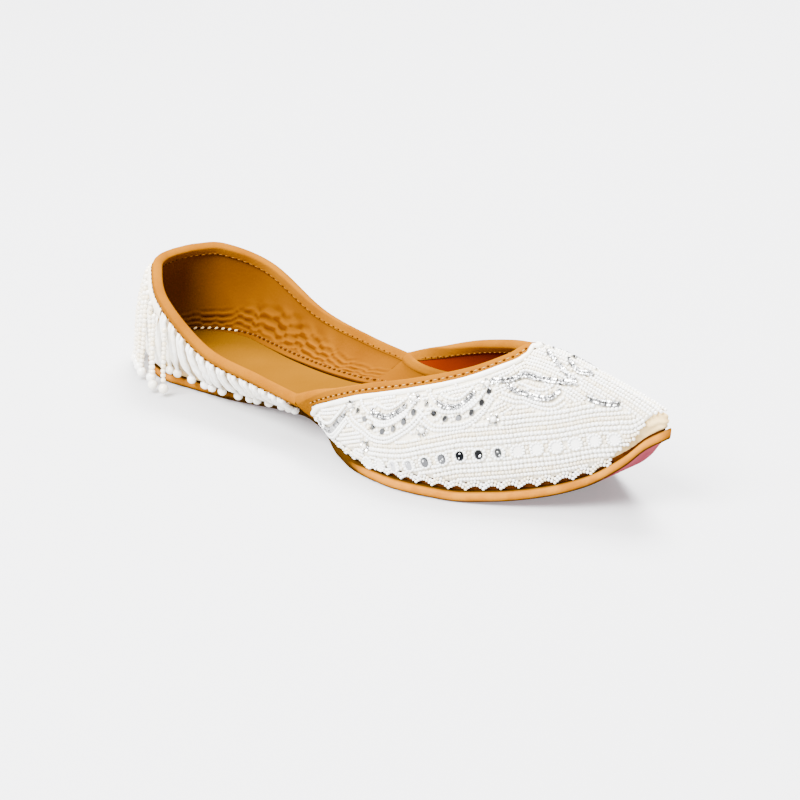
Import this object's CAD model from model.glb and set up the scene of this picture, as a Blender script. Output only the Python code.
"""Beaded mojari shoe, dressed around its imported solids.

The last is worked out in millimetres, heel at X = 0 and symmetrical about Y = 0, then swung along its centre
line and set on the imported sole. A place on the upper is a section number (0 at the back of the heel, 6 at the
notch, 12 at the throat, 16 at the tip) and a level (0 at the sole, 1 at the top line or the ridge). Blender
objects are in metres, in the frame of the solids.
"""
import logging
import math
from collections.abc import Callable
from dataclasses import dataclass, field
from enum import Enum

import bmesh
import bpy
import numpy as np
from mathutils import Matrix, Vector
from mathutils.kdtree import KDTree

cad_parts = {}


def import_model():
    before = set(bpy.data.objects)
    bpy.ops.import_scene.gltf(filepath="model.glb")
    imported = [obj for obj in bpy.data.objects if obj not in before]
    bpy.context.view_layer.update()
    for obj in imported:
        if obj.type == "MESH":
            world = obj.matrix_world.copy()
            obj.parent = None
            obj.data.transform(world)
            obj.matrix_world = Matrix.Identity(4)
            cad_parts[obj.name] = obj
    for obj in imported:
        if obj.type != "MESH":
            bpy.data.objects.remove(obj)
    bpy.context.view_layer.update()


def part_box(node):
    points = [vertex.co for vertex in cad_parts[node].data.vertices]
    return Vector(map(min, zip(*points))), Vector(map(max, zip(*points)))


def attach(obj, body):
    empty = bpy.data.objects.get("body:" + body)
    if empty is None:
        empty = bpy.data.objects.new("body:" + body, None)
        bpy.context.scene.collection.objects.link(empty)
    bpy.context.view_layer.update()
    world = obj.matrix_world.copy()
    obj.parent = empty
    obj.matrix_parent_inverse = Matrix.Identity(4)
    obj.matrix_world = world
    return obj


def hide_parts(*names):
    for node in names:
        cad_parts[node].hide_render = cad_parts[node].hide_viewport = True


LOG = logging.getLogger("mojari")
MM = 0.001
Triple = tuple[float, float, float]


class Slot(Enum):
    """Material slots of the record."""

    SOLE = "sole_leather"
    LINING = "lining_leather"
    UPPER = "upper_leather"
    BINDING = "binding_leather"
    BEADS = "beads"
    PEARL = "pearl"


@dataclass(frozen=True)
class Section:
    """One section of the upper on one side: where it leaves the sole, where it ends, how far it swells."""

    base: float
    top_x: float
    top_half: float
    top_z: float
    belly: float
    shoulder: float


@dataclass(frozen=True)
class ShoeSizes:
    """Sizes of the shoe in millimetres."""

    length: float = 252.0
    heel_half: float = 25.5
    heel_round: float = 30.0
    tip_round: float = 3.0
    tip_half: float = 3.4
    sole: float = 4.2
    insole: float = 2.0
    wall: float = 2.2
    gap: float = 0.4
    binding: float = 0.9
    quarter_leg: float = 3.0
    vamp_leg: float = 3.8
    binding_inner: float = 3.6


SOLE_OUTLINE = (
    (30, 25.5), (60, 20.6), (97, 15.5), (113, 20.5), (131, 32), (150, 40), (166, 42), (184, 39), (201, 32),
    (216, 23.5), (229, 15.2), (240, 8.8), (249, 3.4),
)
SOLE_LIFT = (
    (0, 0), (52, 0), (106, 3), (142, 0), (188, 0), (203, 1.6), (217, 4.6), (229, 9.4), (240, 18.2),
    (246, 25.2), (252, 29.6),
)
CENTRE_LINE = ((0, 0.5), (40, -2), (92, -4), (150, -0.5), (210, 4.6), (252, 10))
FEATHER_MARGIN = ((0, 1.5), (60, 1), (105, 0.4), (150, 2.4), (252, 2))
UPPER_SECTIONS = (
    Section(0, 5.5, 0, 43.8, 6, 5),
    Section(2.6, 8.5, 10, 44.3, 5.8, 4.8),
    Section(11, 16.5, 19.6, 44.0, 5, 4),
    Section(30, 33.5, 30.6, 37.2, 3.5, 2.5),
    Section(58, 61, 33.2, 24.2, 3, 2),
    Section(86, 90, 32.4, 19.9, 2.5, 1.5),
    Section(106, 112, 32.6, 17.2, 2.5, 1.5),
    Section(121, 125, 33.2, 24.6, 3.5, 2.5),
    Section(143, 143, 32, 31.8, 5, 4),
    Section(166, 163, 27.8, 38, 6.5, 5),
    Section(189, 180, 18, 43.6, 8.5, 7.5),
    Section(204, 189.3, 8.2, 48.4, 9.5, 10),
    Section(213, 193, 0, 51.2, 9.5, 11),
    Section(221, 206, 0, 50.8, 8.5, 10.5),
    Section(230, 220, 0, 47.6, 6.5, 8.5),
    Section(239, 235, 0, 43.8, 4.2, 5.8),
    Section(252, 251, 0, 38.6, 1, 1),
)
HEEL_BACK, NOTCH, THROAT, TOE_TIP = 0.0, 6.0, 12.0, 16.0

# Embroidery of the vamp. Places are pairs of section number and distance in millimetres: up from the sole for
# the row of mirrors, down from the top line or the ridge for the rest.
MIRROR_LINE = (
    (8.4, 2.0), (9.12, 4.9), (9.6, 8.9), (10.24, 13.0), (11.2, 13.7), (12.8, 13.6), (13.6, 13.3),
    (14.1, 12.6), (14.9, 9.0), (15.3, 5.5), (16, 2.0),
)
MIRROR_END = 14.9
ARC_ZONE = ((6, 60), (8, 26), (9, 23), (10, 23), (11, 25), (12.3, 26), (13.2, 20), (14, 13), (15, 8), (16, 5))
SILVER_COILS = (
    ((7.04, 13.0), (7.25, 15.6), (7.52, 15.6), (7.75, 13.0), (7.92, 9.8)),
    ((8.48, 10.8), (8.76, 13.4), (8.95, 13.0), (9.12, 10.4)),
    ((9.64, 11.7), (9.82, 14.2), (10.05, 14.8), (10.32, 11.4)),
    ((11.2, 14.6), (11.7, 20.0), (12.32, 21.5), (12.8, 19.5), (13.12, 14.6)),
    ((10.72, 9.6), (11.5, 13.4), (12.36, 14.1), (13.1, 11.6), (13.60, 8.4)),
    ((12.66, 1.2), (12.9, 4.0), (13.25, 7.0), (13.56, 8.6)),
    ((13.30, 1.0), (13.62, 3.6), (14.04, 1.0)),
    ((13.96, 11.2), (14.40, 9.6), (14.84, 6.7)),
)
SEQUIN_ARCS = (
    ((8.14, 9.2), (8.24, 11.7), (8.44, 14.8), (8.64, 18.2), (8.88, 19.6), (9.08, 18.0),
     (9.24, 15.2), (9.34, 11.0)),
    ((9.40, 10.6), (9.56, 14.8), (9.72, 18.3), (9.96, 19.6), (10.24, 20.0), (10.52, 17.4), (10.7, 13.5)),
)
PEARL_CLUSTERS = ((8.44, 23.9), (9.48, 21.7), (10.88, 25.5), (10.6, 10.5), (9.22, 8.9), (8.0, 8.2))
# Tone of the mirrors by place along the length: those that face the dark side of the room, those that don't.
MIRROR_TONE = (
    (158, 0.6), (170, 0.35), (178, 0.1), (187, 0.1), (193, 0.03), (200, 0.12), (206, 0.35), (211, 0.95),
)


def unit(vectors: np.ndarray) -> np.ndarray:
    """Vectors scaled to length one along the last axis."""
    return vectors / np.maximum(np.linalg.norm(vectors, axis=-1, keepdims=True), 1e-9)


def mirrored(points: np.ndarray) -> np.ndarray:
    """Points reflected to the other side of the shoe."""
    return points * np.array([1.0, -1.0, 1.0])


def unchanged(points: np.ndarray) -> np.ndarray:
    """Points on the side Y >= 0, as they are."""
    return points


def run_of(points: np.ndarray) -> np.ndarray:
    """Distance along a line of points, from its first point."""
    return np.concatenate([[0.0], np.cumsum(np.linalg.norm(np.diff(points, axis=0), axis=-1))])


def along_line(at: np.ndarray, run: np.ndarray, points: np.ndarray) -> np.ndarray:
    """Points at distances along a line of points."""
    return np.stack([np.interp(at, run, points[:, k]) for k in range(3)], -1)


def smooth_step(x: np.ndarray, low: float, high: float) -> np.ndarray:
    """Ease from 0 at low to 1 at high."""
    t = np.clip((np.asarray(x, float) - low) / (high - low), 0.0, 1.0)
    return t * t * (3.0 - 2.0 * t)


def hump(x: np.ndarray, middle: float, reach: float) -> np.ndarray:
    """Bell that is 1 at the middle and fades over the reach."""
    return np.exp(-(((x - middle) / reach) ** 2))


def smooth_rows(rows: tuple, x: np.ndarray) -> np.ndarray:
    """Interpolate a table by a cubic that never overshoots its rows.

    Args:
        rows: Pairs of place and value.
        x: Places.

    Returns:
        Values at the places.
    """
    places, values = np.array(rows, float).T
    width = np.diff(places)
    secant = np.diff(values) / width
    slope = np.empty(len(places))
    slope[0], slope[-1] = secant[0], secant[-1]
    before, after = secant[:-1], secant[1:]
    total = np.where(before + after == 0, 1.0, before + after)
    slope[1:-1] = np.where(before * after <= 0, 0.0, 2.0 * before * after / total)
    x = np.asarray(x, float)
    i = np.clip(np.searchsorted(places, x, side="right") - 1, 0, len(width) - 1)
    t = np.clip((x - places[i]) / width[i], 0.0, 1.0)
    rise = values[i + 1] - values[i]
    into, out = width[i] * slope[i], width[i] * slope[i + 1]
    return values[i] + into * t + (3 * rise - 2 * into - out) * t**2 + (into + out - 2 * rise) * t**3


def through(p0: np.ndarray, p1: np.ndarray, p2: np.ndarray, p3: np.ndarray, t: np.ndarray) -> np.ndarray:
    """Smooth curve between the two middle ones of four values.

    Args:
        p0: Values before the span.
        p1: Values at its start.
        p2: Values at its end.
        p3: Values after it.
        t: Share of the span.

    Returns:
        Values on the curve.
    """
    into, out, rise = (p2 - p0) / 2, (p3 - p1) / 2, p2 - p1
    return p1 + into * t + (3 * rise - 2 * into - out) * t**2 + (into + out - 2 * rise) * t**3


class Last:
    """The form of the shoe: sole outline, lift and the face of the upper."""

    def __init__(self, sizes: ShoeSizes) -> None:
        """Keep the sizes and the table of sections.

        Args:
            sizes: Sizes of the shoe.
        """
        self.sizes = sizes
        self.table = np.array(
            [[s.base, s.top_x, s.top_half, s.top_z, s.belly, s.shoulder] for s in UPPER_SECTIONS])
        self.shift = np.zeros(3)

    def half_width(self, x: np.ndarray) -> np.ndarray:
        """Half-width of the sole: a round heel, the outline's table and a round tip.

        Args:
            x: Places along the length.

        Returns:
            Half-widths.
        """
        s = self.sizes
        x = np.asarray(x, float)
        heel = s.heel_half * np.sqrt(np.maximum(0.0, 1.0 - (1.0 - x / s.heel_round) ** 2))
        past = (x - (s.length - s.tip_round)) / s.tip_round
        tip = s.tip_half * np.sqrt(np.maximum(0.0, 1.0 - past**2))
        return np.where(x < s.heel_round, heel, np.where(past > 0, tip, smooth_rows(SOLE_OUTLINE, x)))

    def lift(self, x: np.ndarray) -> np.ndarray:
        """Height of the sole's underside."""
        return smooth_rows(SOLE_LIFT, x)

    def sole_top(self, x: np.ndarray) -> np.ndarray:
        """Height of the sole's upper face."""
        return self.lift(x) + self.sizes.sole

    def centre(self, x: np.ndarray) -> np.ndarray:
        """Sideways place of the centre line."""
        return smooth_rows(CENTRE_LINE, np.clip(x, 0.0, self.sizes.length))

    def outline_normal(self, x: np.ndarray) -> np.ndarray:
        """Outward direction of the sole's outline in plan.

        Args:
            x: Places along the length.

        Returns:
            Directions on the side Y > 0.
        """
        low = np.clip(x - 0.05, 0.0, self.sizes.length)
        high = np.clip(x + 0.05, 0.0, self.sizes.length)
        fall = self.half_width(low) - self.half_width(high)
        return unit(np.stack([fall, high - low, np.zeros_like(fall)], -1))

    def inset_outline(self, x: np.ndarray, inset: np.ndarray) -> np.ndarray:
        """Outline moved in.

        Args:
            x: Places along the length.
            inset: How far it is moved.

        Returns:
            Points at the height of the sole's upper face.
        """
        x = np.asarray(x, float)
        p = np.stack([x, self.half_width(x), np.zeros_like(x)], -1)
        p = p - self.outline_normal(x) * np.asarray(inset)[..., None]
        p[..., 1] = np.maximum(p[..., 1], 0.0)
        p[..., 2] = self.sole_top(np.clip(p[..., 0], 0.0, self.sizes.length))
        return p

    def columns(self, a: np.ndarray) -> list[np.ndarray]:
        """Columns of the section table between sections, with a corner at the notch.

        Args:
            a: Section numbers.

        Returns:
            One array for each column.
        """
        first = np.where(a < NOTCH, HEEL_BACK, NOTCH).astype(int)
        last = np.where(a < NOTCH, NOTCH, TOE_TIP).astype(int)
        i = np.clip(np.floor(a).astype(int), first, last - 1)
        before, after = np.clip(i - 1, first, last), np.clip(i + 2, first, last)
        return [through(c[before], c[i], c[i + 1], c[after], a - i) for c in self.table.T]

    def wall(self, a: np.ndarray, v: np.ndarray) -> np.ndarray:
        """Points on the outer face of the upper.

        Args:
            a: Section numbers, heel to toe.
            v: Levels from the sole to the top line or ridge.

        Returns:
            Points on the side Y >= 0, in millimetres.
        """
        a, v = np.broadcast_arrays(np.asarray(a, float), np.asarray(v, float))
        base_x, top_x, top_half, top_z, belly, shoulder = self.columns(a)
        base_x = np.clip(base_x, 0.0, self.sizes.length)
        base = self.inset_outline(base_x, smooth_rows(FEATHER_MARGIN, base_x))
        base[..., 2] += self.sizes.gap
        half = np.where(a >= THROAT, 0.0, np.maximum(top_half, 0.0))
        top = np.stack([top_x, half, top_z], -1)
        chord = top - base
        along = unit(chord)
        outward = self.outline_normal(base_x)
        outward = unit(outward - along * np.sum(outward * along, -1, keepdims=True))
        low = base + chord / 3 + outward * belly[..., None]
        high = base + chord * 2 / 3 + outward * shoulder[..., None]
        t = np.clip(v, 0.0, 1.0)[..., None]
        p = base * (1 - t) ** 3 + 3 * low * t * (1 - t) ** 2 + 3 * high * t**2 * (1 - t) + top * t**3
        p[..., 1] = np.where(self.on_centre(a, v), 0.0, p[..., 1])
        return p

    @staticmethod
    def on_centre(a: np.ndarray, v: np.ndarray) -> np.ndarray:
        """Whether places lie where the two sides of the shoe meet."""
        return (a <= HEEL_BACK) | (a >= TOE_TIP) | ((a >= THROAT) & (v >= 1.0))

    def normal(self, a: np.ndarray, v: np.ndarray) -> np.ndarray:
        """Outward normals of the upper's face.

        Args:
            a: Section numbers.
            v: Levels.

        Returns:
            Directions of length one.
        """
        a, v = np.broadcast_arrays(np.asarray(a, float), np.asarray(v, float))
        step = 0.02
        along = self.wall(np.clip(a + step, 0, TOE_TIP), v) - self.wall(np.clip(a - step, 0, TOE_TIP), v)
        up = self.wall(a, np.clip(v + step, 0, 1)) - self.wall(a, np.clip(v - step, 0, 1))
        n = np.cross(up, along)
        n[..., 1] = np.where(self.on_centre(a, v), 0.0, n[..., 1])
        return unit(n)

    def offset(self, a: np.ndarray, v: np.ndarray, height: np.ndarray | float) -> np.ndarray:
        """Points at a height off the upper's face."""
        return self.wall(a, v) + self.normal(a, v) * np.asarray(height, float)[..., None]

    def faces(self, a: np.ndarray) -> tuple[np.ndarray, np.ndarray]:
        """Levels and, for each section, the distances up the face at them.

        Args:
            a: Section numbers.

        Returns:
            Levels, and distances by section and level.
        """
        v = np.linspace(0.0, 1.0, 41)
        p = self.wall(np.asarray(a, float)[:, None], v[None, :])
        step = np.linalg.norm(np.diff(p, axis=1), axis=-1)
        return v, np.concatenate([np.zeros((len(p), 1)), np.cumsum(step, 1)], 1)

    def level_at(self, a: np.ndarray, distance: np.ndarray | float, from_top: bool) -> np.ndarray:
        """Levels at a distance up from the sole or down from the top, measured along the face.

        Args:
            a: Section numbers.
            distance: Distances in millimetres.
            from_top: Whether to measure from the top.

        Returns:
            Levels, clipped to the face.
        """
        v, run = self.faces(a)
        distance = np.broadcast_to(np.asarray(distance, float), np.shape(a))
        wanted = run[:, -1] - distance if from_top else distance
        return np.array([np.interp(w, r, v) for w, r in zip(wanted, run)])

    def height(self, a: np.ndarray) -> np.ndarray:
        """Length of the face from the sole to the top at each section."""
        return self.faces(a)[1][:, -1]

    def nearest(self, target: np.ndarray, a: np.ndarray, v: np.ndarray) -> tuple[np.ndarray, np.ndarray]:
        """Nearest places on the upper's face, searched outwards from first guesses.

        Args:
            target: Points on the side Y >= 0.
            a: First guesses of the section numbers.
            v: First guesses of the levels.

        Returns:
            Section numbers and levels.
        """
        best = np.linalg.norm(self.wall(a, v) - target, axis=-1)
        reach = 0.4
        while reach > 0.002:
            for da, dv in ((1, 0), (-1, 0), (0, 1), (0, -1), (1, 1), (1, -1), (-1, 1), (-1, -1)):
                try_a = np.clip(a + da * reach, HEEL_BACK, TOE_TIP)
                try_v = np.clip(v + dv * reach * 0.4, 0.0, 1.0)
                far = np.linalg.norm(self.wall(try_a, try_v) - target, axis=-1)
                better = far < best
                a, v = np.where(better, try_a, a), np.where(better, try_v, v)
                best = np.where(better, far, best)
            reach *= 0.6
        return a, v

    def top_line(self, a: np.ndarray) -> tuple[np.ndarray, np.ndarray, np.ndarray]:
        """Edge points, normals and ways down the face along the top line.

        Args:
            a: Section numbers up to the throat.

        Returns:
            Points, normals and directions down the face.
        """
        step = 0.04

        def at(s: np.ndarray) -> np.ndarray:
            """Points of the top line, also past the centre plane.

            Args:
                s: Section numbers.

            Returns:
                Points.
            """
            other = (s < HEEL_BACK) | (s > THROAT)
            p = self.wall(np.where(s > THROAT, 2 * THROAT - s, np.abs(s)), np.ones_like(s))
            return np.where(other[:, None], mirrored(p), p)

        behind = np.where(a < NOTCH, a - step, np.maximum(NOTCH, a - step))
        ahead = np.where(a < NOTCH, np.minimum(NOTCH, a + step), a + step)
        along = at(ahead) - at(behind)
        edge, normal = self.wall(a, np.ones_like(a)), self.normal(a, np.ones_like(a))
        down = unit(np.cross(along, normal))
        inside = np.sum(down * (self.wall(a, np.full_like(a, 0.8)) - edge), -1) < 0
        return edge, normal, np.where(inside[:, None], -down, down)

    def place(self, points: np.ndarray) -> np.ndarray:
        """Points swung along the centre line and set in the frame of the solids.

        Args:
            points: Points on the last, in millimetres.

        Returns:
            Points in metres.
        """
        p = np.array(points, float)
        p[..., 1] += self.centre(p[..., 0])
        return p * MM + self.shift

    def settle(self) -> None:
        """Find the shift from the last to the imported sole."""
        low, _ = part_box("outsole")
        x = np.linspace(0.0, self.sizes.length, 2000)
        right = (self.centre(x) - self.half_width(x)).min()
        self.shift = np.array([low[0], low[1] - right * MM, 0.0])


Turn = Callable[[np.ndarray], np.ndarray]
SIDES: tuple[tuple[Turn, bool], ...] = ((unchanged, False), (mirrored, True))


class MeshBuilder:
    """Makes one piece from grids that are laid on the last."""

    def __init__(self, last: Last) -> None:
        """Start an empty piece.

        Args:
            last: The shoe's form.
        """
        self.last = last
        self.work = bmesh.new()
        self.map = self.work.loops.layers.uv.new("UVMap")

    def grid(self, points: np.ndarray, finish: int = 0, flip: bool = False, loop: bool = False,
             uv: np.ndarray | None = None) -> None:
        """Add a grid and lay it on points.

        Args:
            points: Array of rows by columns by three, in millimetres.
            finish: Number of the finish on these faces.
            flip: Whether the faces turn the other way.
            loop: Whether each row closes on itself.
            uv: Map of the grid.
        """
        uv = np.zeros((*points.shape[:2], 2)) if uv is None else uv
        if loop:
            points, uv = (np.concatenate([x, x[:, :1]], 1) for x in (points, uv))
        rows, cols = points.shape[:2]
        before = len(self.work.faces)
        verts = bmesh.ops.create_grid(self.work, x_segments=cols - 1, y_segments=rows - 1, size=0.5)["verts"]
        spots = {}
        for vert, place, spot in zip(verts, self.last.place(points.reshape(-1, 3)).tolist(),
                                     uv.reshape(-1, 2).tolist()):
            vert.co = place
            spots[vert] = spot
        faces = list(self.work.faces)[before:]
        for face in faces:
            face.material_index = finish
            for corner in face.loops:
                corner[self.map].uv = spots[corner.vert]
        if not flip:
            bmesh.ops.reverse_faces(self.work, faces=faces)

    def cap(self, points: np.ndarray, finish: int = 0, flip: bool = False) -> None:
        """Add one flat face.

        Args:
            points: Its corners, in millimetres.
            finish: Number of its finish.
            flip: Whether it turns the other way.
        """
        verts = [self.work.verts.new(p) for p in self.last.place(points).tolist()]
        self.work.faces.new(verts[::-1] if flip else verts).material_index = finish

    def cord(self, centre: np.ndarray, out: np.ndarray, wide: np.ndarray, deep: np.ndarray, sides: int = 14,
             twist: float = 5.2) -> None:
        """Add a two-ply cord along a path.

        Args:
            centre: Points of the path.
            out: Outward direction at the points.
            wide: Widths across.
            deep: Widths in the outward direction.
            sides: Points round the cord.
            twist: Length of one turn of the plies.
        """
        along = unit(np.gradient(centre, axis=0))
        across = unit(np.cross(along, out))
        out = np.cross(across, along)
        t = np.linspace(0, 2 * np.pi, sides, endpoint=False)
        run = run_of(centre)
        ply = (0.92 + 0.17 * np.abs(np.cos(t[None, :] - np.pi * run[:, None] / twist)))[..., None]
        ring = ply * (across[:, None, :] * np.cos(t)[None, :, None] * wide[:, None, None] / 2
                      + out[:, None, :] * np.sin(t)[None, :, None] * deep[:, None, None] / 2)
        uv = np.stack(np.broadcast_arrays(t[None, :] / (2 * np.pi), run[:, None]), -1)
        self.grid(centre[:, None, :] + ring, loop=True, flip=True, uv=uv)

    def build(self, name: str, finishes: list[bpy.types.Material], merge: float = 1e-6) -> bpy.types.Object:
        """Make the object, with close points joined and faces smooth.

        Args:
            name: Name of the piece.
            finishes: Materials by number.
            merge: Distance in metres under which points are joined.

        Returns:
            The piece, linked to the scene.
        """
        mesh = bpy.data.meshes.new(name)
        for material in finishes:
            mesh.materials.append(material)
        bmesh.ops.remove_doubles(self.work, verts=self.work.verts, dist=merge)
        bmesh.ops.dissolve_degenerate(self.work, edges=self.work.edges, dist=1e-7)
        for face in self.work.faces:
            face.smooth = True
        self.work.to_mesh(mesh)
        self.work.free()
        piece = bpy.data.objects.new(name, mesh)
        bpy.context.scene.collection.objects.link(piece)
        return piece


@dataclass
class Seeds:
    """Places of many small things: centres, frames and sizes, in millimetres on the last."""

    centre: list[np.ndarray] = field(default_factory=list)
    along: list[np.ndarray] = field(default_factory=list)
    out: list[np.ndarray] = field(default_factory=list)
    size: list[np.ndarray] = field(default_factory=list)
    tint: list[np.ndarray] = field(default_factory=list)

    def add(self, centre: np.ndarray, along: np.ndarray, out: np.ndarray, size: Triple,
            both: bool = True, tint: np.ndarray | float | None = None) -> None:
        """Add things on the side Y >= 0 and, if asked, their mirror images.

        Args:
            centre: Centres.
            along: Directions of the first axis.
            out: Directions of the third axis.
            size: Sizes along the three axes.
            both: Whether the other side gets them too.
            tint: Tones from dark (0) to light (1); left to chance if not given.
        """
        centre, along, out = (np.atleast_2d(np.asarray(x, float)) for x in (centre, along, out))
        along, out = np.broadcast_to(along, centre.shape), np.broadcast_to(out, centre.shape)
        for turn, _ in SIDES if both else SIDES[:1]:
            self.centre.append(turn(centre))
            self.along.append(turn(along))
            self.out.append(turn(out))
            self.size.append(np.broadcast_to(np.asarray(size, float), centre.shape))
            chance = np.random.default_rng(len(self.tint) + 11).random(len(centre))
            tones = chance if tint is None else np.broadcast_to(np.asarray(tint, float), len(centre))
            self.tint.append(tones)


Shape = tuple[np.ndarray, np.ndarray]


def shape_arrays(work: bmesh.types.BMesh) -> Shape:
    """Points and triangles of a shape, which is then let go.

    Args:
        work: The shape.

    Returns:
        Points and triangles.
    """
    bmesh.ops.triangulate(work, faces=work.faces)
    work.verts.index_update()
    points = np.array([v.co[:] for v in work.verts])
    faces = np.array([[v.index for v in f.verts] for f in work.faces])
    work.free()
    return points, faces


def ball_shape(sides: int, rings: int) -> Shape:
    """Ball of diameter one.

    Args:
        sides: Points round the first axis.
        rings: Bands between the poles.

    Returns:
        Points and triangles.
    """
    work = bmesh.new()
    bmesh.ops.create_uvsphere(work, u_segments=sides, v_segments=rings, radius=0.5)
    turn = Matrix.Rotation(math.pi / 2, 3, "Y")
    bmesh.ops.rotate(work, verts=work.verts, cent=(0, 0, 0), matrix=turn)
    return shape_arrays(work)


def disc_shape(sides: int, rim: float) -> Shape:
    """Disc of diameter and thickness one, with a bevelled rim.

    Args:
        sides: Points round the rim.
        rim: Share of the radius that the bevel takes.

    Returns:
        Points and triangles.
    """
    work = bmesh.new()
    bmesh.ops.create_cone(work, cap_ends=True, segments=sides, radius1=0.5, radius2=0.5, depth=1.0)
    top = [e for e in work.edges if all(v.co.z > 0 for v in e.verts)]
    bmesh.ops.bevel(work, geom=top, offset=rim * 0.5, segments=1, profile=0.5, material=-1, affect="EDGES")
    return shape_arrays(work)


def joined_piece(name: str, last: Last, seeds: Seeds, shape: Shape, material: bpy.types.Material,
                 smooth: bool = True) -> bpy.types.Object:
    """One mesh with a copy of a shape at every seed, each copy with a tint of its own.

    Args:
        name: Name of the piece.
        last: The shoe's form.
        seeds: Places of the copies.
        shape: Points and triangles of one copy.
        material: Finish.
        smooth: Whether the faces are shaded smooth.

    Returns:
        The piece, linked to the scene.
    """
    points, faces = shape
    centre, size = np.concatenate(seeds.centre), np.concatenate(seeds.size)
    along, out = unit(np.concatenate(seeds.along)), np.concatenate(seeds.out)
    out = unit(out - along * np.sum(along * out, -1, keepdims=True))
    axes = np.stack([along, np.cross(out, along), out], 1)
    n, m = len(centre), len(points)
    local = points[None] * size[:, None, :]
    placed = last.place(centre)[:, None, :] + np.einsum("nmk,nkj->nmj", local, axes) * MM
    tris = (faces[None] + (np.arange(n) * m)[:, None, None]).reshape(-1, 3)
    mesh = bpy.data.meshes.new(name)
    mesh.from_pydata(placed.reshape(-1, 3).tolist(), [], tris.tolist())
    mesh.materials.append(material)
    tint = mesh.attributes.new("tint", "FLOAT", "POINT")
    tint.data.foreach_set("value", np.repeat(np.concatenate(seeds.tint), m))
    mesh.polygons.foreach_set("use_smooth", [smooth] * len(mesh.polygons))
    piece = bpy.data.objects.new(name, mesh)
    bpy.context.scene.collection.objects.link(piece)
    return piece


Colour = Triple


@dataclass(frozen=True)
class LeatherFinish:
    """Look of a leather, cloth or cord: two tones in soft patches, grain, and darker folds."""

    name: str
    colour: Colour
    shade: Colour
    grain: float = 900.0
    patch: float = 45.0
    roughness: float = 0.6
    bump: float = 0.25
    folds: float = 0.0
    fold_tone: Colour = (0.30, 0.17, 0.12)
    shine: float = 0.0


@dataclass(frozen=True)
class GlossFinish:
    """Look of beads, pearls, thread, wire or mirrors, from a light tone to a dark one."""

    name: str
    colour: Colour
    shade: Colour
    roughness: float = 0.2
    metallic: float = 0.0
    coat: float = 0.0
    shine: float = 0.5


class Finish(Enum):
    """Finishes of the shoe."""

    SOLE_EDGE = LeatherFinish("sole_edge_leather", (0.46, 0.168, 0.006), (0.34, 0.11, 0.002), 700, 140, 0.65,
                              bump=0.5, folds=0.95, fold_tone=(0.03, 0.035, 0.05))
    SOLE_UNDER = LeatherFinish("sole_under_leather", (0.24, 0.048, 0.062), (0.16, 0.026, 0.04), 500, 60, 0.7)
    LINING = LeatherFinish("mustard_lining", (0.154, 0.0515, 0.0001), (0.13, 0.041, 0.0001), 800, 30,
                           bump=0.3, folds=0.75)
    SOCK = LeatherFinish("mustard_sock", (0.117, 0.0447, 0.0001), (0.102, 0.038, 0.0001), 900, 25, folds=0.95)
    TOE_LINING = LeatherFinish("rust_lining", (0.11, 0.011, 0.0006), (0.085, 0.0075, 0.0005), 800, 40)
    FEATHER_EDGE = LeatherFinish("feather_edge_leather", (0.11, 0.03, 0.004), (0.06, 0.014, 0.002),
                                 600, 200, 0.7)
    CREAM = LeatherFinish("cream_leather", (0.74, 0.53, 0.24), (0.58, 0.37, 0.13), 700, 120, bump=0.4)
    TAN = LeatherFinish("tan_binding_leather", (0.194, 0.0675, 0.0001), (0.158, 0.0505, 0.0001), 900, 70,
                        bump=0.4)
    CLOTH = LeatherFinish("white_ground_cloth", (0.86, 0.81, 0.69), (0.78, 0.70, 0.55), 1400, 60, 0.8)
    CORD = LeatherFinish("ivory_cord", (0.92, 0.91, 0.87), (0.84, 0.80, 0.70), 1600, 200, 0.5,
                         bump=0.3, shine=0.4)
    TAPE = LeatherFinish("fringe_tape", (0.36, 0.28, 0.18), (0.26, 0.19, 0.11), 1400, 120, 0.8)
    BEADS = GlossFinish("ivory_beads", (0.93, 0.93, 0.91), (0.84, 0.72, 0.50), coat=0.4)
    PEARLS = GlossFinish("white_pearls", (0.92, 0.90, 0.85), (0.80, 0.74, 0.62), coat=0.8)
    THREAD = GlossFinish("cream_thread", (0.84, 0.62, 0.32), (0.22, 0.085, 0.01), 0.7, shine=0.0)
    HOLES = GlossFinish("stitch_holes", (0.05, 0.013, 0.002), (0.03, 0.007, 0.001), 0.9, shine=0.0)
    SILVER = GlossFinish("silver_wire", (0.80, 0.80, 0.79), (0.035, 0.035, 0.04), 0.22, metallic=1.0)
    MIRROR = GlossFinish("round_mirrors", (0.92, 0.92, 0.93), (0.01, 0.012, 0.016), 0.06, metallic=1.0)


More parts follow.
